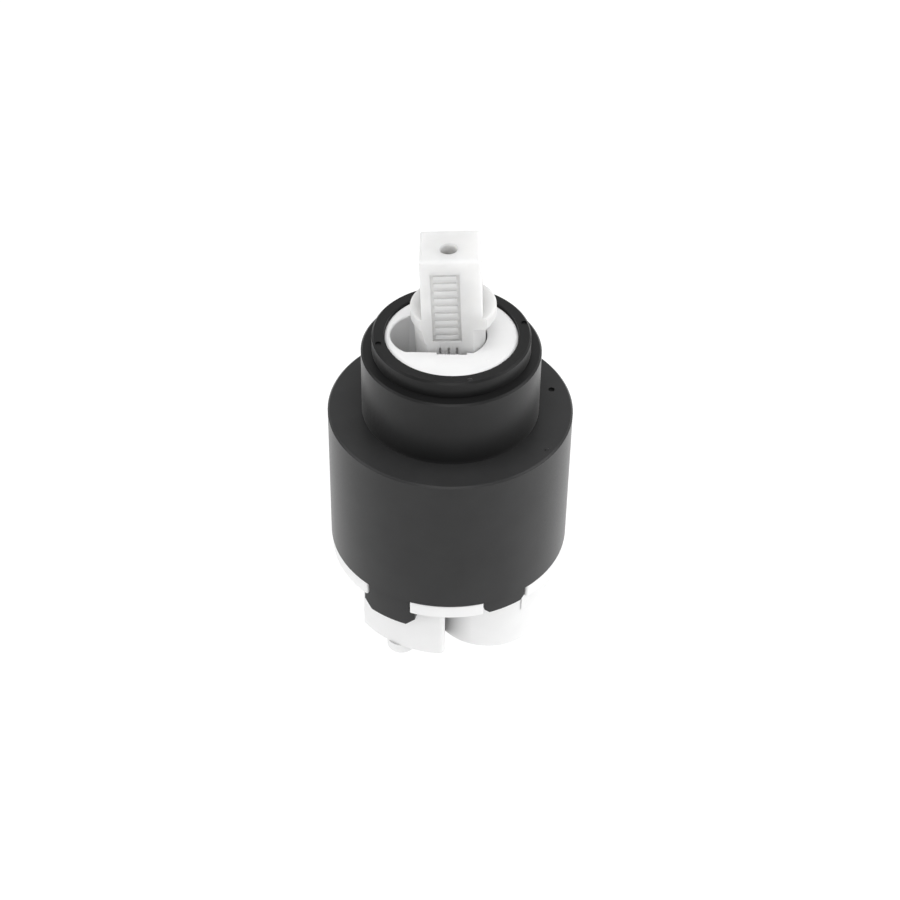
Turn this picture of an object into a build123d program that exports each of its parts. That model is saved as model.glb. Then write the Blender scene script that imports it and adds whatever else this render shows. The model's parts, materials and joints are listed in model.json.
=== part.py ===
"""Single-lever ceramic disc cartridge, 40 mm size: one common port, two side ports.

Origin: on the body axis, at the tips of the locating pins. +Z runs up the body axis
to the lever, +X points to the side ports, -X to the common port, +Y is the rear.
All lengths are in millimetres. One STEP file is written for each piece.
"""
from build123d import *
from math import cos, hypot, pi, radians, sin
import os

# ---- heights, from the locating pin tips up -------------------------------------------
Z_FOOT = 2.0            # sealing faces of the feet
Z_PLINTH = 9.1          # underside of the outer plinth
Z_HOOK = 9.9            # tips of the long snap tabs
Z_FLANGE = 13.2         # underside of the base flange
Z_HOUSING = 15.6        # lower edge of the housing
Z_PLUG = 20.0           # top of the base inside the housing
Z_SHOULDER = 42.3       # face that the retaining nut presses on
Z_LEDGE = 54.4          # top of the neck
Z_BOSS = 57.27          # top of the housing
Z_TURNTABLE_TOP = 57.0
Z_PIVOT = 51.0          # axis of the lever pin

# ---- housing --------------------------------------------------------------------------
BODY_R = 20.0
NECK_R = 14.44
BOSS_R = 12.70
CAVITY_R = 17.6
NECK_BORE_R = 12.2
TOP_HOLE_R = 10.75
SHOULDER_WEB = 2.4      # wall under the shoulder
LEDGE_WEB = 1.4         # wall under the neck's top face
EDGE_BREAK = 0.3
TAB_INNER_R = 17.75
TAB_OUTER_R = 19.5
TAB_BEARINGS = {"long": (120.4, 239.6), "short": (60.0, 300.0)}
TAB_WIDTH_DEG = 22.9
TAB_GAP_DEG = 24.2
HOOK_WIDTH_DEG = 29.2
HOOK_CORNER = 1.6
SHORT_TAB_DROP = 0.25   # how far a short tab passes the flange
SHORT_TAB_CORNER = 0.9
STOP_RIB_R = 15.4
STOP_RIB_DEG = 8.0
STOP_BEARING = 90.0
INDEX_DIMPLE_R = 0.5
INDEX_DIMPLE_DEPTH = 0.25
INDEX_DIMPLE_PITCH_R = 11.89
INDEX_DIMPLE_BEARING = 14.4
SHOULDER_DIMPLE_R = 0.55
SHOULDER_DIMPLE_DEPTH = 0.4
SHOULDER_DIMPLE_PITCH_R = 17.2
SHOULDER_DIMPLE_BEARING = 15.2

# ---- base -----------------------------------------------------------------------------
FLANGE_R = 19.8
FLANGE_CORNER = 0.35    # rounding of the flange's ends beside the tabs
PLUG_R = 17.45
PLINTH_R = 18.6
PLINTH_FROM_X = 12.5
BLOCK_R = 17.5
BLOCK_X = (-14.15, -0.3)
BLOCK_CORNER = 0.9
SPIGOT_R = 9.2
SIDE_PORT_X = 6.88
SIDE_PORT_Y = 6.3
SIDE_PORT_R = 3.7
COMMON_PORT_X = -7.3
COMMON_PORT_R = 4.3
PIN_X = -7.7
PIN_Y = 13.3
PIN_R = 2.45
PIN_TIP_ROUND = 0.3
LUG_BEARINGS = (0.0, 120.0, 240.0)
LUG_INNER_R = 16.0
LUG_WIDTH = 4.0
LUG_TOP = 24.0
BODY_RING_GROOVE_R = 16.2
BODY_RING_Z = (16.7, 18.3)

# ---- seals ----------------------------------------------------------------------------
COMMON_SEAL_R = (5.0, 6.3)
SIDE_SEAL_R = (4.3, 5.7)
DISC_SEAL_GROOVE = 1.5
SEAL_PROUD = 0.2
RING_EASE = 0.03        # gap between an O-ring and its groove or bore
FOOT_SEAL_GROOVE = 1.6
FOOT_SEAL_PROUD = 0.4
RUBBER_EDGE = 0.25

# ---- ceramic discs --------------------------------------------------------------------
DISC_THICKNESS = 5.0
FIXED_DISC_R = 17.0
FIXED_DISC_BASE = Z_PLUG + SEAL_PROUD
WATER_FILM = 0.02
MOVING_DISC_R = 14.2
MOVING_DISC_BASE = FIXED_DISC_BASE + DISC_THICKNESS + WATER_FILM
MOVING_DISC_TOP = MOVING_DISC_BASE + DISC_THICKNESS
KIDNEY_R = (6.9, 11.1)
KIDNEY_BEARINGS = (22.0, 61.0)
CHAMBER_X = (-9.6, 6.6)
CHAMBER_HALF_Y = 5.2
CHAMBER_CORNER = 3.0
DISC_NOTCH = 3.0

# ---- lever ----------------------------------------------------------------------------
PIVOT_X = 0.75
LEAN = 2.7              # lean of the closed lever towards -X, degrees
OPENING = 23.0          # lever travel from closed to fully open, degrees
BALL_ARM = 12.5         # from the pin axis down to the ball centre
BALL_R = 3.0
BALL_TOP_CUT = 0.6
BALL_FOOT_CUT = 0.4
FINGER_R = 2.0
CORE_R = 1.5
CORE_PAST_BALL = 0.8    # how far the bush's blind bore passes the ball centre
SHANK_TOP = 23.25       # heights on the lever count from the pin axis
SHANK_FOOT = 10.3
SHANK_X = 9.62          # at the shank's foot
SHANK_Y = 8.6
SHANK_TAPER = 0.5
SHANK_SHIFT = -0.12     # of the shank's middle from the lever's own axis, along X
SHANK_CORNER = 0.25
SHANK_TOP_ROUND = 0.5
WING_R = 6.8
WING_S = (10.2, 12.3)
HUB_HALF_Y = 4.3
HUB_TOP = 10.3
HUB_LEFT = -6.25
HUB_RIGHT = 5.08
HUB_RIGHT_AT_PIN = 4.75
HUB_HEEL_R = 4.8
CHEEK_S = (7.5, 10.5)   # solid cheek under the left half of the wing
CHEEK_R = (6.15, 6.6)
SCREW_HOLE = (-0.32, -0.78)     # centre of the screw hole from the lever's own axis
SCREW_HOLE_R = 1.25
SCREW_HOLE_DEPTH = 10.0
SCREW_HOLE_MOUTH_R = 1.45
SCREW_HOLE_MOUTH_DEPTH = 0.4
PANEL_X = (-3.28, 1.28)
PANEL_S = (8.0, 20.8)
PANEL_DEPTH = 0.4
PANEL_BARS = 9
PANEL_MARGIN = 0.5
BAR_START = 0.3         # of a bar pitch
BAR_HEIGHT = 0.45       # of a bar pitch
BAR_DEPTH = 0.25
TICK_COUNT = 3
TICK_HALF_WIDTH = 0.16
TICK_DEPTH = 0.5
TICK_PITCH = 1.33
TICK_FIRST_X = -2.2
TICK_S = (5.4, 6.7)

# ---- pin and turntable ----------------------------------------------------------------
LEVER_PIN_R = 1.5
LEVER_PIN_HALF = 11.6
RUNNING = 0.05          # radial clearance of a turning or sliding fit
HUB_GAP_LEFT = 0.2      # between the hub's round sides and the slot's ends
HUB_GAP_RIGHT = 0.4
TURNTABLE_EDGE = 0.6
TURNTABLE_R = 12.1
TURNTABLE_BOSS_R = 10.65
FLANGE_DISC_R = 16.9
FLANGE_DISC_CUT_R = 15.3
FLANGE_DISC_Z = (36.1, 39.05)
TURN_HALF_RANGE = 50.0
SLOT_HALF_Y = 4.65
SLOT_LEFT = (-4.5, 5.2)     # centre and radius of the slot's end towards -X
SLOT_RIGHT = (-0.3, 6.0)    # centre and radius of the slot's end towards +X
SLOT_LIP = 2.5
SLOT_ROUND = 0.35       # rounding of the top edge at the slot's end towards -X
SLOT_NOTCH_X = (-2.3, 2.5)
SLOT_NOTCH_DEPTH = 0.45
CRADLE_X = (-3.0, 6.6)
CRADLE_FLOOR = 44.2
PASSAGE_X = (-2.0, 8.4)
PASSAGE_HALF_Y = 2.6
TOWER_ROOM_X = (-3.3, 10.5)
TOWER_ROOM_TOP = 43.2
NECK_RING_GROOVE_R = 10.6
NECK_RING_Z = (45.0, 46.7)
WASHER_R = (12.35, 15.2)
WASHER_THICKNESS = 0.8

# ---- carrier --------------------------------------------------------------------------
CARRIER_R = 14.9
CARRIER_TOP = 35.95
SKIRT = 2.2
TOWER_HALF_X = 4.1
TOWER_HALF_Y = 4.3
TOWER_TOP = 40.4
POCKET_R = 3.12
POCKET_FLOOR = 35.0
MESH_R = 8.6
MESH_THICKNESS = 1.0
MESH_HOLE_R = 0.45
MESH_PITCH = 1.5
CHAMBER_SEAL_R = (10.4, 12.0)
CHAMBER_SEAL_HEIGHT = 1.4

# Ball position with the lever closed, and how far the discs slide from closed to open.
BALL_X = PIVOT_X + BALL_ARM * sin(radians(LEAN))
DISC_TRAVEL = BALL_ARM * (sin(radians(LEAN + OPENING)) - sin(radians(LEAN)))
CARRIER_X = -DISC_TRAVEL / 2


def cyl(radius, z0, z1, x=0.0, y=0.0):
    """Upright cylinder between two heights."""
    return Pos(x, y, (z0 + z1) / 2) * Cylinder(radius, z1 - z0)


def ring(outer, inner, z0, z1, x=0.0, y=0.0):
    """Upright tube between two heights."""
    return cyl(outer, z0, z1, x, y) - cyl(inner, z0 - 1, z1 + 1, x, y)


def box(x_span, y_span, z_span):
    """Box given by its two limits along each axis."""
    spans = (x_span, y_span, z_span)
    middle = [(low + high) / 2 for low, high in spans]
    return Pos(*middle) * Box(*[high - low for low, high in spans])


def ring_sector(outer, inner, z0, z1, bearing, width):
    """Part of a tube, centred on a bearing counted from +X, less than 180 degrees wide."""
    reach = 2.5 * outer
    half = radians(width / 2)
    wedge = Polygon((0, 0), (reach * cos(half), -reach * sin(half)),
                    (reach * cos(half), reach * sin(half)), align=None)
    wedge = Pos(0, 0, z0) * extrude(wedge, z1 - z0)
    return ring(outer, inner, z0, z1) & (Rot(0, 0, bearing) * wedge)


def corner_edges(solid, z):
    """Short straight edges of a sector that run outwards at one height."""
    flat = solid.edges().filter_by(GeomType.LINE)
    return [edge for edge in flat if abs(edge.center().Z - z) < 1e-3 and abs(edge.length) > 0.5]


def rounded_ring(outer, inner, z0, z1, x=0.0, y=0.0, edge=RUBBER_EDGE):
    """Moulded rubber ring with rounded edges."""
    body = ring(outer, inner, z0, z1, x, y)
    return fillet(body.edges().filter_by(GeomType.CIRCLE), edge)


def long_tab(bearing):
    """Snap tab with a hook wider than the flange gap that it passes through."""
    neck = ring_sector(TAB_OUTER_R, TAB_INNER_R, Z_FLANGE, Z_HOUSING + 1, bearing, TAB_WIDTH_DEG)
    hook = ring_sector(TAB_OUTER_R, TAB_INNER_R, Z_HOOK, Z_FLANGE, bearing, HOOK_WIDTH_DEG)
    hook = chamfer(corner_edges(hook, Z_HOOK), HOOK_CORNER)
    return neck + hook


def short_tab(bearing):
    """Locating tab that fills a flange gap."""
    tip = Z_FLANGE - SHORT_TAB_DROP
    tab = ring_sector(TAB_OUTER_R, TAB_INNER_R, tip, Z_HOUSING + 1, bearing, TAB_WIDTH_DEG)
    return chamfer(corner_edges(tab, tip), SHORT_TAB_CORNER)


def housing():
    """Black outer body: wide barrel, neck and boss, with four tabs that hold the base."""
    profile = Polyline((CAVITY_R, Z_HOUSING), (BODY_R, Z_HOUSING), (BODY_R, Z_SHOULDER),
                       (NECK_R, Z_SHOULDER), (NECK_R, Z_LEDGE), (BOSS_R, Z_LEDGE),
                       (BOSS_R, Z_BOSS), (TOP_HOLE_R, Z_BOSS),
                       (TOP_HOLE_R, Z_LEDGE - LEDGE_WEB), (NECK_BORE_R, Z_LEDGE - LEDGE_WEB),
                       (NECK_BORE_R, Z_SHOULDER - SHOULDER_WEB),
                       (CAVITY_R, Z_SHOULDER - SHOULDER_WEB), close=True)
    body = revolve(Plane.XZ * make_face(profile), Axis.Z)
    outer_edges = [edge for edge in body.edges().filter_by(GeomType.CIRCLE)
                   if (edge.center().Z, round(edge.radius, 2)) in
                   ((Z_HOUSING, BODY_R), (Z_SHOULDER, BODY_R), (Z_LEDGE, NECK_R),
                    (Z_BOSS, BOSS_R))]
    body = chamfer(outer_edges, EDGE_BREAK)
    for bearing in TAB_BEARINGS["long"]:
        body += long_tab(bearing)
    for bearing in TAB_BEARINGS["short"]:
        body += short_tab(bearing)
    stop_foot = FLANGE_DISC_Z[0] + RUNNING
    body += ring_sector(CAVITY_R + 0.5, STOP_RIB_R, stop_foot, Z_SHOULDER - SHOULDER_WEB,
                        STOP_BEARING, STOP_RIB_DEG)
    for turn in (0.0, 180.0):
        dimple = cyl(INDEX_DIMPLE_R, Z_BOSS - INDEX_DIMPLE_DEPTH, Z_BOSS + 1,
                     INDEX_DIMPLE_PITCH_R)
        body -= Rot(0, 0, INDEX_DIMPLE_BEARING + turn) * dimple
    dimple = cyl(SHOULDER_DIMPLE_R, Z_SHOULDER - SHOULDER_DIMPLE_DEPTH, Z_SHOULDER + 1,
                 SHOULDER_DIMPLE_PITCH_R)
    return body - Rot(0, 0, SHOULDER_DIMPLE_BEARING) * dimple


def foot_block():
    """Foot of the common port: a slab cut from a cylinder, flat towards the side ports."""
    slab = box(BLOCK_X, (-BLOCK_R, BLOCK_R), (Z_FOOT, Z_FLANGE))
    slab &= cyl(BLOCK_R, Z_FOOT, Z_FLANGE)
    uprights = slab.edges().filter_by(Axis.Z)
    return fillet(uprights, BLOCK_CORNER)


def feet():
    """Everything that hangs below the flange, without ports."""
    body = foot_block()
    for side in (-1, 1):
        body += cyl(SPIGOT_R, Z_FOOT, Z_FLANGE, SIDE_PORT_X, side * SIDE_PORT_Y)
        pin = cyl(PIN_R, 0.0, Z_FOOT, PIN_X, side * PIN_Y)
        body += fillet(pin.edges().group_by(Axis.Z)[0], PIN_TIP_ROUND)
    plinth = cyl(PLINTH_R, Z_PLINTH, Z_FLANGE)
    plinth &= box((PLINTH_FROM_X, BODY_R), (-BODY_R, BODY_R), (Z_PLINTH, Z_FLANGE))
    return body + plinth


def base():
    """White base: flange with four gaps, plug with disc lugs, three ported feet, two pins."""
    body = cyl(FLANGE_R, Z_FLANGE, Z_HOUSING)
    for bearing in TAB_BEARINGS["long"] + TAB_BEARINGS["short"]:
        body -= ring_sector(FLANGE_R + 1, PLUG_R, Z_FLANGE - 1, Z_HOUSING + 1, bearing, TAB_GAP_DEG)
    ends = [edge for edge in body.edges().filter_by(Axis.Z)
            if hypot(edge.center().X, edge.center().Y) > FLANGE_R - 0.1]
    body = fillet(ends, FLANGE_CORNER)
    body += cyl(PLUG_R, Z_FLANGE, Z_PLUG)
    body += feet()
    for bearing in TAB_BEARINGS["short"]:
        body -= ring_sector(FLANGE_R + 1, TAB_INNER_R - 0.1, Z_FLANGE - SHORT_TAB_DROP - RUNNING,
                            Z_HOUSING + 1, bearing, TAB_GAP_DEG)
    for bearing in LUG_BEARINGS:
        lug = box((LUG_INNER_R, PLUG_R + 1), (-LUG_WIDTH / 2, LUG_WIDTH / 2), (Z_PLUG, LUG_TOP))
        body += Rot(0, 0, bearing) * (lug & cyl(PLUG_R, Z_PLUG, LUG_TOP))
    body -= ring(PLUG_R + 1, BODY_RING_GROOVE_R, *BODY_RING_Z)
    for x, y, bore_r, seal_r in ports():
        body -= cyl(bore_r, -1, LUG_TOP, x, y)
        body -= ring(seal_r[1], seal_r[0], Z_PLUG - DISC_SEAL_GROOVE, Z_PLUG + 1, x, y)
        body -= ring(seal_r[1], seal_r[0], Z_FOOT - 1, Z_FOOT + FOOT_SEAL_GROOVE, x, y)
    return body


def ports():
    """Axis, bore radius and seal radii of the common port and of the two side ports."""
    common = (COMMON_PORT_X, 0.0, COMMON_PORT_R, COMMON_SEAL_R)
    sides = [(SIDE_PORT_X, side * SIDE_PORT_Y, SIDE_PORT_R, SIDE_SEAL_R) for side in (-1, 1)]
    return [common] + sides


def port_seals():
    """A disc seal above and a foot seal below each port."""
    seals = {}
    for name, port in zip(("common", "side_front", "side_rear"), ports()):
        x, y, _, (inner, outer) = port
        seals["disc_seal_" + name] = rounded_ring(outer, inner, Z_PLUG - DISC_SEAL_GROOVE,
                                                  Z_PLUG + SEAL_PROUD, x, y)
        seals["foot_seal_" + name] = rounded_ring(outer, inner, Z_FOOT - FOOT_SEAL_PROUD,
                                                  Z_FOOT + FOOT_SEAL_GROOVE, x, y)
    return seals


def kidney(side):
    """Curved slot through the fixed disc above one side port, with round ends."""
    middle = (KIDNEY_R[0] + KIDNEY_R[1]) / 2
    half_width = (KIDNEY_R[1] - KIDNEY_R[0]) / 2
    end_angle = half_width / middle * 180 / pi
    first, last = KIDNEY_BEARINGS
    centre = (first + last) / 2
    low, high = FIXED_DISC_BASE - 1, FIXED_DISC_BASE + DISC_THICKNESS + 1
    slot = ring_sector(KIDNEY_R[1], KIDNEY_R[0], low, high, side * centre,
                       last - first - 2 * end_angle)
    for bearing in (first + end_angle, last - end_angle):
        slot += Rot(0, 0, side * bearing) * cyl(half_width, low, high, middle)
    return slot


def fixed_disc():
    """Lower ceramic disc: round common port, two kidney ports, notches for the base's lugs."""
    top = FIXED_DISC_BASE + DISC_THICKNESS
    disc = cyl(FIXED_DISC_R, FIXED_DISC_BASE, top)
    disc = chamfer(disc.edges().filter_by(GeomType.CIRCLE), EDGE_BREAK)
    disc -= cyl(COMMON_PORT_R + 0.3, FIXED_DISC_BASE - 1, top + 1, COMMON_PORT_X)
    for side in (-1, 1):
        disc -= kidney(side)
    for bearing in LUG_BEARINGS:
        notch = box((LUG_INNER_R - 0.2, BODY_R), (-LUG_WIDTH / 2 - 0.1, LUG_WIDTH / 2 + 0.1),
                    (FIXED_DISC_BASE - 1, top + 1))
        disc -= Rot(0, 0, bearing) * notch
    return disc


def moving_disc():
    """Upper ceramic disc: a mixing chamber and two side notches for the carrier's keys."""
    disc = cyl(MOVING_DISC_R, MOVING_DISC_BASE, MOVING_DISC_TOP, CARRIER_X)
    disc = chamfer(disc.edges().filter_by(GeomType.CIRCLE), EDGE_BREAK)
    chamber = box(CHAMBER_X, (-CHAMBER_HALF_Y, CHAMBER_HALF_Y),
                  (MOVING_DISC_BASE - 1, MOVING_DISC_TOP + 1))
    chamber = fillet(chamber.edges().filter_by(Axis.Z), CHAMBER_CORNER)
    disc -= Pos(CARRIER_X, 0, 0) * chamber
    return disc - disc_keys(0.1)


def disc_keys(grow):
    """The two keys, on the front and the rear of the carrier's skirt, that turn the disc."""
    keys = Part()
    half = DISC_NOTCH / 2 + grow
    for side in (-1, 1):
        span = sorted((side * (MOVING_DISC_R - 1.2 - grow), side * (CARRIER_R - 0.3)))
        keys += box((CARRIER_X - half, CARRIER_X + half), span,
                    (MOVING_DISC_TOP - SKIRT - grow, MOVING_DISC_TOP + grow))
    return keys


def carrier():
    """Slide that grips the moving disc, with the tower that the turntable guides."""
    body = cyl(CARRIER_R, MOVING_DISC_TOP, CARRIER_TOP, CARRIER_X)
    body += ring(CARRIER_R, MOVING_DISC_R + 0.05, MOVING_DISC_TOP - SKIRT,
                 MOVING_DISC_TOP, CARRIER_X)
    body += disc_keys(0.0)
    tower = box((BALL_X - TOWER_HALF_X, BALL_X + TOWER_HALF_X), (-TOWER_HALF_Y, TOWER_HALF_Y),
                (CARRIER_TOP - 1, TOWER_TOP))
    body += tower
    body -= cyl(POCKET_R, POCKET_FLOOR, TOWER_TOP + 1, BALL_X)
    body -= cyl(MESH_R, MOVING_DISC_TOP - 1, MOVING_DISC_TOP + MESH_THICKNESS, CARRIER_X)
    body -= ring(CHAMBER_SEAL_R[1], CHAMBER_SEAL_R[0], MOVING_DISC_TOP - 0.5,
                 MOVING_DISC_TOP + CHAMBER_SEAL_HEIGHT, CARRIER_X)
    return body


def damper_mesh():
    """Perforated disc in the mixing chamber that breaks up the flow."""
    disc = cyl(MESH_R, MOVING_DISC_TOP, MOVING_DISC_TOP + MESH_THICKNESS, CARRIER_X)
    holes = HexLocations(MESH_PITCH / 2, 7, 7)
    pierce = Circle(MESH_HOLE_R)
    sketch = Sketch() + [place * pierce for place in holes
                         if place.position.length < MESH_R - 1.6]
    return disc - Pos(CARRIER_X, 0, MOVING_DISC_TOP - 1) * extrude(sketch, MESH_THICKNESS + 2)


def slot():
    """The turntable's slot: straight front and rear, round ends of two radii."""
    heights = (CRADLE_FLOOR, Z_TURNTABLE_TOP + 1)
    left_x, left_r = SLOT_LEFT
    right_x, right_r = SLOT_RIGHT
    across = (-BODY_R, BODY_R)
    left = cyl(left_r, *heights, left_x) & box((-BODY_R, left_x), across, heights)
    right = cyl(right_r, *heights, right_x) & box((right_x, BODY_R), across, heights)
    middle = box((left_x, right_x), across, heights)
    band = box(across, (-SLOT_HALF_Y, SLOT_HALF_Y), heights)
    return (left + middle + right) & band


def slot_rounding():
    """What is cut away to round the top edge at the slot's end towards -X."""
    end_x, end_r = SLOT_LEFT
    low = Z_TURNTABLE_TOP - SLOT_ROUND
    edge = ring(end_r + SLOT_ROUND, end_r - SLOT_ROUND, low, Z_TURNTABLE_TOP + 1, end_x)
    edge -= Pos(end_x, 0, low) * Torus(end_r + SLOT_ROUND, SLOT_ROUND)
    return edge & box((-BODY_R, end_x), (-SLOT_HALF_Y, SLOT_HALF_Y), (low, Z_TURNTABLE_TOP + 1))


def turntable():
    """White turning body: boss in the top hole, neck journal, flange with the stop window."""
    boss = cyl(TURNTABLE_BOSS_R, Z_LEDGE - LEDGE_WEB - 1, Z_TURNTABLE_TOP)
    boss = fillet(boss.edges().group_by(Axis.Z)[-1], TURNTABLE_EDGE)
    body = boss + cyl(TURNTABLE_R, FLANGE_DISC_Z[1] - 1, Z_LEDGE - LEDGE_WEB - 0.1)
    body += cyl(FLANGE_DISC_R, *FLANGE_DISC_Z)
    window = STOP_RIB_DEG + 2 * TURN_HALF_RANGE + 1
    body -= ring_sector(BODY_R, FLANGE_DISC_CUT_R, FLANGE_DISC_Z[0] - 1, FLANGE_DISC_Z[1] + 0.5,
                        STOP_BEARING, window)
    body -= ring(TURNTABLE_R + 1, NECK_RING_GROOVE_R, *NECK_RING_Z)
    body -= slot()
    body -= slot_rounding()
    half_notch = SLOT_HALF_Y + SLOT_NOTCH_DEPTH
    body -= box(SLOT_NOTCH_X, (-half_notch, half_notch),
                (Z_TURNTABLE_TOP - SLOT_LIP, Z_TURNTABLE_TOP + 1))
    body -= box(CRADLE_X, (-SLOT_HALF_Y, SLOT_HALF_Y),
                (CRADLE_FLOOR, Z_TURNTABLE_TOP - SLOT_LIP))
    body -= box(PASSAGE_X, (-PASSAGE_HALF_Y, PASSAGE_HALF_Y),
                (TOWER_ROOM_TOP - 1, CRADLE_FLOOR + 1))
    half_room = TOWER_HALF_Y + RUNNING
    body -= box(TOWER_ROOM_X, (-half_room, half_room), (FLANGE_DISC_Z[0] - 1, TOWER_ROOM_TOP))
    body -= lever_pin_blank(LEVER_PIN_R, TURNTABLE_R + 1)
    return body


def lever_pin_blank(radius, half_length):
    """Cylinder along the lever's tilt axis."""
    return Pos(PIVOT_X, 0, Z_PIVOT) * Rot(90, 0, 0) * Cylinder(radius, 2 * half_length)


def lever_pin():
    """Steel pin, pressed into the turntable, that the lever tilts on."""
    pin = lever_pin_blank(LEVER_PIN_R, LEVER_PIN_HALF)
    return chamfer(pin.edges().filter_by(GeomType.CIRCLE), EDGE_BREAK)


def in_place(lever_piece):
    """Move a piece from the upright lever's own frame to the closed position."""
    return Pos(PIVOT_X, 0, Z_PIVOT) * Rot(0, -LEAN, 0) * lever_piece


def hub():
    """Wide lower part of the lever around the pin, rounded to fit the slot."""
    left_r = SLOT_LEFT[1] - HUB_GAP_LEFT
    right_r = SLOT_RIGHT[1] - HUB_GAP_RIGHT
    depth = 2 * HUB_HALF_Y
    left = cyl(left_r, -HUB_HEEL_R, HUB_TOP, HUB_LEFT + left_r)
    right = cyl(right_r, -HUB_HEEL_R, HUB_TOP, HUB_RIGHT - right_r)
    plan = (left + right) & Box(2 * BODY_R, depth, 2 * BODY_R)
    outline = make_face(Polyline((HUB_LEFT, HUB_TOP), (HUB_LEFT, 0), (HUB_RIGHT_AT_PIN, 0),
                                 (HUB_RIGHT, HUB_TOP), close=True))
    side = Rot(90, 0, 0) * extrude(outline, depth / 2, both=True)
    heel = Rot(90, 0, 0) * Cylinder(HUB_HEEL_R, depth)
    return plan & (side + heel)


def panel_bars():
    """Plain raised bars in the front panel."""
    bars = Part()
    pitch = (PANEL_S[1] - PANEL_S[0]) / PANEL_BARS
    floor = PANEL_DEPTH - SHANK_Y / 2
    for index in range(PANEL_BARS):
        low = PANEL_S[0] + (index + BAR_START) * pitch
        bars += box((PANEL_X[0] + PANEL_MARGIN, PANEL_X[1] - PANEL_MARGIN),
                    (floor - BAR_DEPTH, floor + 1), (low, low + BAR_HEIGHT * pitch))
    return bars


def shank():
    """Square stem that the handle fits, slightly tapered, with a screw hole in its end."""
    foot = Pos(SHANK_SHIFT, 0, SHANK_FOOT) * Rectangle(SHANK_X, SHANK_Y)
    stem = extrude(foot, SHANK_TOP - SHANK_FOOT, taper=SHANK_TAPER)
    uprights = [edge for edge in stem.edges() if edge.bounding_box().size.Z > EDGE_BREAK]
    stem = fillet(uprights, SHANK_CORNER)
    stem = fillet(stem.edges().group_by(Axis.Z)[-1], SHANK_TOP_ROUND)
    stem -= cyl(SCREW_HOLE_R, SHANK_TOP - SCREW_HOLE_DEPTH, SHANK_TOP + 1, *SCREW_HOLE)
    mouth = Cone(SCREW_HOLE_R, SCREW_HOLE_MOUTH_R, SCREW_HOLE_MOUTH_DEPTH)
    return stem - Pos(*SCREW_HOLE, SHANK_TOP - SCREW_HOLE_MOUTH_DEPTH / 2) * mouth


def cheek():
    """Solid cheek that closes the underside of the wing on the side of the lean."""
    height = CHEEK_S[1] - CHEEK_S[0]
    cone = Pos(0, 0, (CHEEK_S[0] + CHEEK_S[1]) / 2) * Cone(*CHEEK_R, height)
    return cone & box((-BODY_R, 0), (-HUB_HALF_Y, HUB_HALF_Y), CHEEK_S)


def lever():
    """Translucent lever: stem, wing that covers the slot, hub on the pin, finger."""
    wing = cyl(WING_R, *WING_S)
    wing = fillet(wing.edges().filter_by(GeomType.CIRCLE), EDGE_BREAK)
    wing &= box((-BODY_R, BODY_R), (-HUB_HALF_Y, BODY_R), WING_S)
    body = hub() + shank() + wing + cheek()
    body += cyl(FINGER_R, BALL_R - BALL_TOP_CUT - BALL_ARM, 0)
    body += cyl(CORE_R, -BALL_ARM - CORE_PAST_BALL, 0)
    panel_floor = -SHANK_Y / 2 + PANEL_DEPTH
    body -= box(PANEL_X, (-BODY_R, panel_floor), PANEL_S)
    body += panel_bars()
    for index in range(TICK_COUNT):
        middle = TICK_FIRST_X + index * TICK_PITCH
        body -= box((middle - TICK_HALF_WIDTH, middle + TICK_HALF_WIDTH),
                    (-HUB_HALF_Y - 1, TICK_DEPTH - HUB_HALF_Y), TICK_S)
    body -= Rot(90, 0, 0) * Cylinder(LEVER_PIN_R + RUNNING, 4 * HUB_HALF_Y)
    return in_place(body)


def ball_bush():
    """Hard slide bush on the finger's end: a ball with a blind bore."""
    ball = Pos(0, 0, -BALL_ARM) * Sphere(BALL_R)
    ball &= cyl(BALL_R, BALL_FOOT_CUT - BALL_R - BALL_ARM, BALL_R - BALL_TOP_CUT - BALL_ARM)
    return in_place(ball - cyl(CORE_R, -BALL_ARM - CORE_PAST_BALL, 0))


def main():
    pieces = {
        "housing": housing(),
        "base": base(),
        "base_o_ring": rounded_ring(CAVITY_R - RING_EASE, BODY_RING_GROOVE_R + RING_EASE,
                                    *BODY_RING_Z),
        "fixed_disc": fixed_disc(),
        "moving_disc": moving_disc(),
        "chamber_seal": rounded_ring(CHAMBER_SEAL_R[1], CHAMBER_SEAL_R[0], MOVING_DISC_TOP,
                                     MOVING_DISC_TOP + CHAMBER_SEAL_HEIGHT, CARRIER_X),
        "damper_mesh": damper_mesh(),
        "carrier": carrier(),
        "thrust_washer": ring(WASHER_R[1], WASHER_R[0],
                              Z_SHOULDER - SHOULDER_WEB - WASHER_THICKNESS,
                              Z_SHOULDER - SHOULDER_WEB),
        "turntable": turntable(),
        "turntable_o_ring": rounded_ring(NECK_BORE_R - RING_EASE,
                                         NECK_RING_GROOVE_R + RING_EASE, *NECK_RING_Z),
        "lever_pin": lever_pin(),
        "lever": lever(),
        "lever_ball_bush": ball_bush(),
    }
    pieces.update(port_seals())
    os.makedirs("parts", exist_ok=True)
    for name, piece in pieces.items():
        export_step(piece, "parts/" + name + ".step")
    print("disc travel %.3f mm, %.5f m/rad" % (DISC_TRAVEL, DISC_TRAVEL / radians(OPENING) / 1000))


main()
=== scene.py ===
"""Blender scene of a single-lever valve cartridge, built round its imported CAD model.

The frame is the CAD model's own: metres, +Z up the body axis, -Y the front.
Every CAD node stays visible and gets a procedural material here. The small moulding
marks are extra pieces that ride on the CAD bodies.
"""
import json
import math

import bmesh
import bpy
from mathutils import Matrix, Vector


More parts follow.
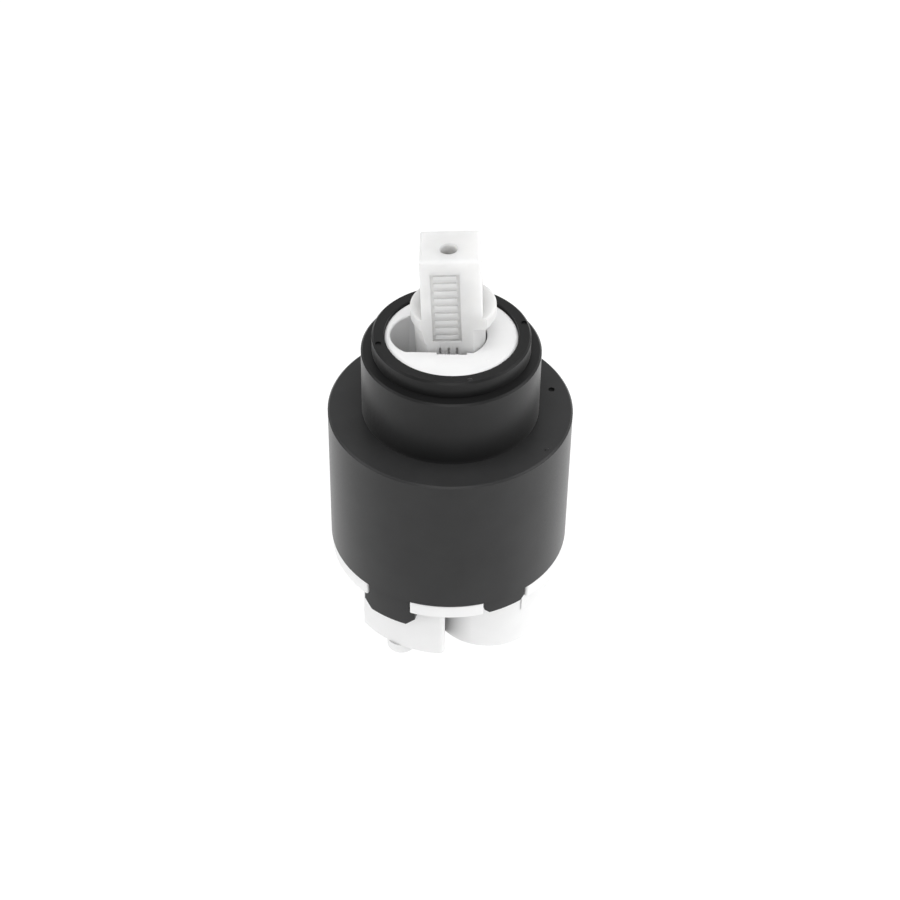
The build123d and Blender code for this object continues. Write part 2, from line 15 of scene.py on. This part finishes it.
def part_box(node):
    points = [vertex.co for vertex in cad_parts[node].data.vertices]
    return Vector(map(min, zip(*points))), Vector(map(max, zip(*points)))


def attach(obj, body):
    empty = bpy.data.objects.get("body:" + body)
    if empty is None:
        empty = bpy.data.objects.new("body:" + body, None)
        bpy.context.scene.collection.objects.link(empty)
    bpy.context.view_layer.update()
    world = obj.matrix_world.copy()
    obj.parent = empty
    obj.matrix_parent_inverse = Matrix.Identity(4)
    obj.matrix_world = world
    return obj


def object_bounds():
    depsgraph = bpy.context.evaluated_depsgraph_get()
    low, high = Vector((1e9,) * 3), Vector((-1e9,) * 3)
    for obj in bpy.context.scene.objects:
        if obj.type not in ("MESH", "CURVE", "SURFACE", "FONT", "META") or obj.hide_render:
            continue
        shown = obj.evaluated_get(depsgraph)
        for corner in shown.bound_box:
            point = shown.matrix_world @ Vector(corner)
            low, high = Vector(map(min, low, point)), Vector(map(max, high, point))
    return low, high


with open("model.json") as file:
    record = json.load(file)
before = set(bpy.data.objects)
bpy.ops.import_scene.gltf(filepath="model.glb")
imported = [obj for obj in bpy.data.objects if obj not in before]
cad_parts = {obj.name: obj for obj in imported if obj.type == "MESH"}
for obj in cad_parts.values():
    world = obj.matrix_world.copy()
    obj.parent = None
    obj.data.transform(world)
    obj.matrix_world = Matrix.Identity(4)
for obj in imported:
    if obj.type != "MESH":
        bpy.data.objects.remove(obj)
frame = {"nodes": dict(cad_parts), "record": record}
CAD_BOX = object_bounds()

MM = 0.001

# ---- camera ---------------------------------------------------------------------------
LENS_MM = 83.36
SENSOR_MM = 36.0
CAMERA_DISTANCE = 346.2 * MM
CAMERA_ELEVATION = 41.31
CAMERA_ROLL = 0.95
CAMERA_TARGET = Vector((0.06, 0.0, 32.62)) * MM

# ---- studio ---------------------------------------------------------------------------
FLOOR_HALF_SIZE = 3.0
FLOOR_DROP = 0.05 * MM
FLOOR_WHITE = 0.25
FLOOR_GLOW = (0.84, 1.0)        # left of the object and right of it
FLOOR_GLOW_REACH = 70.0 * MM
WORLD_STRENGTH = 0.21
# name: (place, size, watts)
SOFT_BOXES = {
    "right_box": ((0.60, -0.10, 0.25), 0.5, 1.65),
    "left_box": ((-0.60, -0.10, 0.25), 0.5, 1.15),
    "top_box": ((0.0, -0.10, 0.80), 0.5, 2.85),
    "front_box": ((0.0, -0.60, 0.60), 0.5, 1.70),
    "back_box": ((0.0, 0.65, 0.55), 0.5, 0.45),
    "right_back_box": ((0.45, 0.45, 0.35), 0.5, 0.50),
    "left_back_box": ((-0.45, 0.45, 0.35), 0.5, 0.20),
}
LIGHT_TARGET = Vector((0.0, 0.0, 35.0)) * MM

# ---- moulding marks: outlines as (radius, height) in mm, from below the surface up -----
MARK_SIDES = 28
LOW_PIP = ((0.0, -0.06), (0.40, -0.06), (0.40, 0.03), (0.32, 0.07), (0.16, 0.09), (0.0, 0.09))
NICK = ((0.0, -0.05), (0.20, -0.05), (0.19, 0.03), (0.12, 0.07), (0.0, 0.08))
EJECTOR = ((0.0, -0.06), (1.25, -0.06), (1.25, 0.04), (1.18, 0.07), (1.08, 0.02), (0.0, 0.02))
GATE = ((0.0, -0.06), (0.85, -0.06), (0.85, 0.05), (0.76, 0.09), (0.62, 0.03), (0.30, 0.03),
        (0.24, 0.14), (0.12, 0.18), (0.0, 0.17))
# name: (outline, x and y in mm, surface it stands on, faces up, body, material slot)
MARKS = {
    "shoulder_pip": (LOW_PIP, (15.5, -10.6), "shoulder", True, "body", "housing_plastic"),
    "boss_mark": (LOW_PIP, (2.95, -11.60), "boss", True, "body", "housing_plastic"),
    "turntable_nick": (NICK, (5.73, -6.24), "turntable", True, "turntable", "turntable_plastic"),
    "ejector_mark_plinth": (EJECTOR, (16.2, 0.0), "plinth", False, "body", "base_plastic"),
    "ejector_mark_front": (EJECTOR, (-2.9, -12.6), "foot", False, "body", "base_plastic"),
    "ejector_mark_rear": (EJECTOR, (-2.9, 12.6), "foot", False, "body", "base_plastic"),
    "gate_mark": (GATE, (-1.9, 0.0), "foot", False, "body", "base_plastic"),
}
TURNTABLE_BELOW_BOSS = 0.27 * MM
PLINTH_ABOVE_FOOT = 7.1 * MM

# ---- painted light and shade: (height in mm, factor on the base colour) ----------------
# Painted shade darkens the neck and the boss against the barrel, and painted light brightens the
# shoulder.
HOUSING_PAINTED_LIGHT_AND_SHADE = ((15.0, 1.0), (41.9, 1.0), (42.2, 1.35), (42.4, 1.35), (42.9, 0.65),
                (54.2, 0.60), (54.6, 0.50), (56.8, 0.50), (57.2, 0.40), (58.0, 0.40))
# Painted shade: the translucent lever is darkened where the dark housing stands round it.
LEVER_PAINTED_SHADE = ((38.0, 0.80), (56.5, 0.80), (60.0, 0.86), (66.0, 1.0), (75.0, 1.0))
# Painted shade: base colours are darkened in each piece's own corners and gaps.
CORNER_SHADE_SAMPLES = 8
# Painted corner shade: (reach in mm, factor on the base colour in the deepest corner)
HOUSING_CORNER_SHADE = (6.0, 0.35)
LEVER_CORNER_SHADE = (5.0, 0.74)
WHITE_CORNER_SHADE_REACH = 4.5

# ---- plastics and steel ----------------------------------------------------------------
NOISE_RANGE = (0.3, 0.7)        # most of a noise texture's values lie between these
CLOUD_SIZE = 6.0                # mm
FLOW_STRETCH = (1.0, 1.0, 0.12)


# ---- node helpers ---------------------------------------------------------------------
def new_material(name):
    """Material with one Principled shader, ready for its textures."""
    material = bpy.data.materials.new(name)
    material.use_nodes = True
    tree = material.node_tree
    tree.nodes.clear()
    output = tree.nodes.new("ShaderNodeOutputMaterial")
    shader = tree.nodes.new("ShaderNodeBsdfPrincipled")
    tree.links.new(shader.outputs["BSDF"], output.inputs["Surface"])
    return material, tree, shader


def noise(tree, size_mm, detail=3.0, roughness=0.5, stretch=(1.0, 1.0, 1.0)):
    """Noise in object space, with features about size_mm across. Returns its value."""
    place = tree.nodes.new("ShaderNodeTexCoord")
    mapping = tree.nodes.new("ShaderNodeMapping")
    mapping.inputs["Scale"].default_value = stretch
    texture = tree.nodes.new("ShaderNodeTexNoise")
    texture.inputs["Scale"].default_value = 1.0 / (size_mm * MM)
    texture.inputs["Detail"].default_value = detail
    texture.inputs["Roughness"].default_value = roughness
    tree.links.new(place.outputs["Object"], mapping.inputs["Vector"])
    tree.links.new(mapping.outputs["Vector"], texture.inputs["Vector"])
    return texture.outputs["Fac"]


def specks(tree, size_mm, share):
    """Scattered round specks: 1 inside, 0 outside. share is a speck's radius over size_mm."""
    place = tree.nodes.new("ShaderNodeTexCoord")
    cells = tree.nodes.new("ShaderNodeTexVoronoi")
    cells.inputs["Scale"].default_value = 1.0 / (size_mm * MM)
    tree.links.new(place.outputs["Object"], cells.inputs["Vector"])
    return spread(tree, cells.outputs["Distance"], share, 0.6 * share, 0.0, 1.0)


def spread(tree, value, low, high, out_low, out_high):
    """Map a value from one range to another, held at the ends."""
    node = tree.nodes.new("ShaderNodeMapRange")
    for name, number in zip(("From Min", "From Max", "To Min", "To Max"),
                            (low, high, out_low, out_high)):
        node.inputs[name].default_value = number
    tree.links.new(value, node.inputs["Value"])
    return node.outputs["Result"]


def blend_colours(tree, factor, dark, light):
    """Colour that runs from dark to light as the factor crosses NOISE_RANGE."""
    ramp = tree.nodes.new("ShaderNodeValToRGB")
    for element, position, colour in zip(ramp.color_ramp.elements, NOISE_RANGE, (dark, light)):
        element.position = position
        element.color = (*colour, 1.0)
    tree.links.new(factor, ramp.inputs["Fac"])
    return ramp.outputs["Color"]


def mix_colours(tree, factor, base, over):
    """Lay one colour over another where the factor is 1."""
    node = tree.nodes.new("ShaderNodeMix")
    node.data_type = "RGBA"
    tree.links.new(factor, node.inputs["Factor"])
    tree.links.new(base, node.inputs["A"])
    node.inputs["B"].default_value = (*over, 1.0)
    return node.outputs["Result"]


def bump(tree, height, depth_mm, under=None):
    """Bump of a stated depth, laid on the normal of another bump if there is one."""
    node = tree.nodes.new("ShaderNodeBump")
    node.inputs["Strength"].default_value = 1.0
    node.inputs["Distance"].default_value = depth_mm * MM
    tree.links.new(height, node.inputs["Height"])
    if under is not None:
        tree.links.new(under, node.inputs["Normal"])
    return node.outputs["Normal"]


def multiply_colour(tree, shader, factor):
    """Multiply the shader's base colour by a grey factor or colour."""
    link = shader.inputs["Base Color"].links[0]
    node = tree.nodes.new("ShaderNodeMix")
    node.data_type = "RGBA"
    node.blend_type = "MULTIPLY"
    node.inputs["Factor"].default_value = 1.0
    tree.links.new(link.from_socket, node.inputs["A"])
    tree.links.new(factor, node.inputs["B"])
    tree.links.new(node.outputs["Result"], shader.inputs["Base Color"])


def paint_corner_shade(tree, shader, reach_mm, darkest):
    """Paint shade into the base colour: darken it in a piece's own corners and gaps."""
    occlusion = tree.nodes.new("ShaderNodeAmbientOcclusion")
    occlusion.inputs["Distance"].default_value = reach_mm * MM
    occlusion.samples = CORNER_SHADE_SAMPLES
    occlusion.only_local = True
    multiply_colour(tree, shader, spread(tree, occlusion.outputs["AO"], 0.0, 1.0, darkest, 1.0))


def paint_shading_by_height(tree, shader, stops):
    """Paint light and shade into the base colour: multiply it by a factor that follows (height
    in mm, factor) stops.
    """
    low, high = stops[0][0], stops[-1][0]
    place = tree.nodes.new("ShaderNodeTexCoord")
    split = tree.nodes.new("ShaderNodeSeparateXYZ")
    tree.links.new(place.outputs["Object"], split.inputs["Vector"])
    ramp = tree.nodes.new("ShaderNodeValToRGB")
    elements = ramp.color_ramp.elements
    while len(elements) < len(stops):
        elements.new(1.0)
    for element, (height, factor) in zip(elements, stops):
        element.position = (height - low) / (high - low)
        element.color = (factor, factor, factor, 1.0)
    tree.links.new(spread(tree, split.outputs["Z"], low * MM, high * MM, 0.0, 1.0),
                   ramp.inputs["Fac"])
    multiply_colour(tree, shader, ramp.outputs["Color"])


# ---- materials ------------------------------------------------------------------------
def moulded_plastic(name, dark, light, gloss, grain_mm, grain_depth_mm, flow_mm, flow_depth_mm):
    """Moulded plastic: cloudy colour, spark-eroded grain and faint flow lines along Z."""
    material, tree, shader = new_material(name)
    cloud = noise(tree, CLOUD_SIZE, detail=5.0)
    flow = noise(tree, flow_mm, detail=2.0, stretch=FLOW_STRETCH)
    grain = noise(tree, grain_mm, detail=4.0, roughness=0.65)
    tree.links.new(blend_colours(tree, cloud, dark, light), shader.inputs["Base Color"])
    tree.links.new(spread(tree, grain, *NOISE_RANGE, *gloss), shader.inputs["Roughness"])
    waves = bump(tree, flow, flow_depth_mm)
    tree.links.new(bump(tree, grain, grain_depth_mm, under=waves), shader.inputs["Normal"])
    return material, tree, shader


def housing_plastic():
    """Black glass-filled nylon: dark, satin, with pale glass specks near the surface."""
    material, tree, shader = moulded_plastic("housing_plastic", (0.0215, 0.0216, 0.0219),
                                             (0.0265, 0.0266, 0.0270), (0.32, 0.42),
                                             0.22, 0.004, 2.4, 0.003)
    cloud = shader.inputs["Base Color"].links[0].from_socket
    glass = specks(tree, 0.55, 0.10)
    tree.links.new(mix_colours(tree, glass, cloud, (0.040, 0.041, 0.042)),
                   shader.inputs["Base Color"])
    # Painted shade: the housing's base colour is darkened in its own corners and gaps.
    paint_corner_shade(tree, shader, *HOUSING_CORNER_SHADE)
    # Painted light and shade: the housing's base colour is lightened and darkened by height.
    paint_shading_by_height(tree, shader, HOUSING_PAINTED_LIGHT_AND_SHADE)
    shader.inputs["Specular IOR Level"].default_value = 0.22
    shader.inputs["Sheen Weight"].default_value = 0.14
    shader.inputs["Sheen Roughness"].default_value = 0.35
    return material


def white_plastic(name, dark, light, corner=0.6):
    """White acetal: smooth satin, slightly cloudy, with a little light inside it."""
    material, tree, shader = moulded_plastic(name, dark, light, (0.38, 0.50),
                                             0.30, 0.004, 3.0, 0.006)
    # Painted shade: the base colour is darkened in the piece's own corners and gaps, down to
    # corner in the deepest one.
    paint_corner_shade(tree, shader, WHITE_CORNER_SHADE_REACH, corner)
    shader.inputs["Subsurface Weight"].default_value = 0.12
    shader.inputs["Subsurface Radius"].default_value = (1.0, 1.0, 0.95)
    shader.inputs["Subsurface Scale"].default_value = 0.8 * MM
    return material


def lever_plastic():
    """Natural nylon: translucent, with drawn-out flow lines up the stem."""
    material, tree, shader = moulded_plastic("lever_plastic", (0.74, 0.74, 0.735),
                                             (0.82, 0.82, 0.815), (0.58, 0.74),
                                             0.35, 0.004, 0.9, 0.010)
    # Painted shade: the lever's base colour is darkened in its own corners and gaps.
    paint_corner_shade(tree, shader, *LEVER_CORNER_SHADE)
    # Painted shade: the lever's base colour is darkened low down, by height.
    paint_shading_by_height(tree, shader, LEVER_PAINTED_SHADE)
    shader.inputs["Specular IOR Level"].default_value = 0.3
    shader.inputs["Subsurface Weight"].default_value = 0.9
    shader.inputs["Subsurface Radius"].default_value = (1.0, 0.98, 0.95)
    shader.inputs["Subsurface Scale"].default_value = 5.0 * MM
    return material


def ceramic_white():
    """Lapped alumina: very smooth and slightly mottled, with fine lapping scratches."""
    material, tree, shader = new_material("ceramic_white")
    mottle = noise(tree, 1.2, detail=6.0, roughness=0.6)
    lapping = noise(tree, 0.12, detail=2.0, stretch=(1.0, 0.06, 1.0))
    colour = blend_colours(tree, mottle, (0.84, 0.83, 0.80), (0.93, 0.92, 0.90))
    pores = specks(tree, 0.9, 0.07)
    tree.links.new(mix_colours(tree, pores, colour, (0.55, 0.54, 0.50)),
                   shader.inputs["Base Color"])
    tree.links.new(spread(tree, lapping, *NOISE_RANGE, 0.10, 0.22), shader.inputs["Roughness"])
    tree.links.new(bump(tree, lapping, 0.001), shader.inputs["Normal"])
    shader.inputs["IOR"].default_value = 1.76
    return material


def seal_rubber():
    """Moulded black rubber: dull, dusty, with a fine grain."""
    material, tree, shader = new_material("seal_rubber")
    dust = noise(tree, 1.5, detail=6.0, roughness=0.7)
    grain = noise(tree, 0.15, detail=3.0)
    tree.links.new(blend_colours(tree, dust, (0.012, 0.012, 0.012), (0.030, 0.030, 0.029)),
                   shader.inputs["Base Color"])
    tree.links.new(spread(tree, dust, *NOISE_RANGE, 0.62, 0.80), shader.inputs["Roughness"])
    tree.links.new(bump(tree, grain, 0.010), shader.inputs["Normal"])
    return material


def steel(name, stretch, light, gloss):
    """Stainless steel with fine lines, longest along the axes where stretch is smallest."""
    material, tree, shader = new_material(name)
    lines = noise(tree, 0.10, detail=3.0, stretch=stretch)
    stain = noise(tree, 2.5, detail=4.0)
    dark = tuple(0.8 * channel for channel in light)
    tree.links.new(blend_colours(tree, stain, dark, light), shader.inputs["Base Color"])
    tree.links.new(spread(tree, lines, *NOISE_RANGE, *gloss), shader.inputs["Roughness"])
    tree.links.new(bump(tree, lines, 0.002), shader.inputs["Normal"])
    shader.inputs["Metallic"].default_value = 1.0
    return material


def bush_plastic():
    """Hard dark plastic, polished where it slides."""
    material, _, shader = moulded_plastic("bush_plastic", (0.055, 0.056, 0.062),
                                          (0.085, 0.086, 0.094), (0.14, 0.26),
                                          0.25, 0.002, 1.5, 0.004)
    shader.inputs["Coat Weight"].default_value = 0.3
    return material


def make_materials():
    """One material for each material slot of the record."""
    return {
        "housing_plastic": housing_plastic(),
        # corner sets the painted shade in each white part's corners; 1.0 paints none.
        "base_plastic": white_plastic("base_plastic", (0.87, 0.87, 0.87), (0.91, 0.91, 0.91),
                                      corner=0.45),
        "turntable_plastic": white_plastic("turntable_plastic", (0.84, 0.84, 0.84),
                                           (0.89, 0.89, 0.89), corner=1.0),
        "lever_plastic": lever_plastic(),
        "carrier_plastic": white_plastic("carrier_plastic", (0.66, 0.65, 0.60),
                                         (0.75, 0.74, 0.70)),
        "washer_plastic": white_plastic("washer_plastic", (0.86, 0.86, 0.84),
                                        (0.92, 0.92, 0.90)),
        "bush_plastic": bush_plastic(),
        "ceramic_white": ceramic_white(),
        "seal_rubber": seal_rubber(),
        "mesh_steel": steel("mesh_steel", (1.0, 0.08, 1.0), (0.62, 0.61, 0.59), (0.28, 0.42)),
        "pin_steel": steel("pin_steel", (1.0, 6.0, 1.0), (0.66, 0.65, 0.64), (0.18, 0.32)),
    }


def dress_nodes(materials):
    """Give every CAD node the material of its slot."""
    for subpart in frame["record"]["subparts"]:
        node = frame["nodes"][subpart["node"]]
        node.data.materials.clear()
        node.data.materials.append(materials[subpart["material_slot"]])


# ---- moulding marks -------------------------------------------------------------------
def turned(name, outline, place, faces_up, material):
    """Small round piece turned from an outline, standing on a level surface."""
    mesh = bmesh.new()
    rings = []
    for radius, height in outline:
        if radius == 0.0:
            rings.append([mesh.verts.new((0.0, 0.0, height * MM))])
            continue
        rings.append([mesh.verts.new((radius * MM * math.cos(turn), radius * MM * math.sin(turn),
                                      height * MM))
                      for turn in (math.tau * step / MARK_SIDES for step in range(MARK_SIDES))])
    for low, high in zip(rings, rings[1:]):
        for index in range(MARK_SIDES):
            after = (index + 1) % MARK_SIDES
            corners = [low[index % len(low)], low[after % len(low)],
                       high[after % len(high)], high[index % len(high)]]
            mesh.faces.new(list(dict.fromkeys(corners)))
    bmesh.ops.recalc_face_normals(mesh, faces=mesh.faces)
    data = bpy.data.meshes.new(name)
    mesh.to_mesh(data)
    mesh.free()
    data.shade_smooth()
    data.materials.append(material)
    piece = bpy.data.objects.new(name, data)
    bpy.context.scene.collection.objects.link(piece)
    piece.location = place
    if not faces_up:
        piece.rotation_euler.x = math.pi
    return piece


def make_marks(materials):
    """Plain pips on the housing and the marks of gate and ejector pins under the base."""
    mounts = {mount["name"]: mount["pos_m"] for mount in frame["record"]["mounts"]}
    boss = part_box("housing")[1][2]
    foot = mounts["foot_face"][2]
    heights = {"shoulder": mounts["shoulder"][2], "boss": boss, "foot": foot,
               "turntable": boss - TURNTABLE_BELOW_BOSS, "plinth": foot + PLINTH_ABOVE_FOOT}
    for name, (outline, (x, y), surface, faces_up, body, slot) in MARKS.items():
        place = (x * MM, y * MM, heights[surface])
        piece = turned(name, outline, place, faces_up, materials[slot])
        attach(piece, body)


# ---- camera and studio ----------------------------------------------------------------
def make_camera():
    """Camera in front of the object, looking down at it."""
    data = bpy.data.cameras.new("camera")
    data.lens = LENS_MM
    data.sensor_width = SENSOR_MM
    data.clip_start = 0.01
    camera = bpy.data.objects.new("camera", data)
    bpy.context.scene.collection.objects.link(camera)
    elevation = math.radians(CAMERA_ELEVATION)
    roll = math.radians(CAMERA_ROLL)
    forward = Vector((0, math.cos(elevation), -math.sin(elevation)))
    right = Vector((1, 0, 0))
    up = Vector((0, math.sin(elevation), math.cos(elevation)))
    tilted_right = math.cos(roll) * right + math.sin(roll) * up
    tilted_up = math.cos(roll) * up - math.sin(roll) * right
    rotation = Matrix((tilted_right, tilted_up, -forward)).transposed()
    camera.matrix_world = rotation.to_4x4()
    camera.location = CAMERA_TARGET - CAMERA_DISTANCE * forward
    bpy.context.scene.camera = camera


def make_floor():
    """Wide white floor just under the pin tips."""
    material, tree, shader = new_material("floor_white")
    shader.inputs["Base Color"].default_value = (FLOOR_WHITE, FLOOR_WHITE, FLOOR_WHITE, 1.0)
    shader.inputs["Roughness"].default_value = 0.9
    shader.inputs["Emission Color"].default_value = (1.0, 1.0, 1.0, 1.0)
    place = tree.nodes.new("ShaderNodeTexCoord")
    across = tree.nodes.new("ShaderNodeSeparateXYZ")
    tree.links.new(place.outputs["Object"], across.inputs["Vector"])
    glow = spread(tree, across.outputs["X"], 0.0, FLOOR_GLOW_REACH, *FLOOR_GLOW)
    tree.links.new(glow, shader.inputs["Emission Strength"])
    mesh = bpy.data.meshes.new("floor")
    half = FLOOR_HALF_SIZE
    z = CAD_BOX[0][2] - FLOOR_DROP
    corners = [(-half, -half, z), (half, -half, z), (half, half, z), (-half, half, z)]
    mesh.from_pydata(corners, [], [(0, 1, 2, 3)])
    mesh.materials.append(material)
    floor = bpy.data.objects.new("floor", mesh)
    bpy.context.scene.collection.objects.link(floor)


def soft_box(name, place, size, watts):
    """Square light that faces the object."""
    data = bpy.data.lights.new(name, "AREA")
    data.shape = "SQUARE"
    data.size = size
    data.energy = watts
    light = bpy.data.objects.new(name, data)
    bpy.context.scene.collection.objects.link(light)
    light.location = place
    aim = LIGHT_TARGET - Vector(place)
    light.rotation_euler = aim.to_track_quat("-Z", "Y").to_euler()


def make_studio():
    """White floor, soft boxes and a dim white surround."""
    make_floor()
    for name, (place, size, watts) in SOFT_BOXES.items():
        soft_box(name, place, size, watts)
    world = bpy.data.worlds.new("studio")
    world.use_nodes = True
    background = world.node_tree.nodes["Background"]
    background.inputs["Color"].default_value = (1.0, 1.0, 1.0, 1.0)
    background.inputs["Strength"].default_value = WORLD_STRENGTH
    bpy.context.scene.world = world
    bpy.context.scene.view_settings.view_transform = "Standard"


make_camera()
make_studio()
slot_materials = make_materials()
dress_nodes(slot_materials)
make_marks(slot_materials)
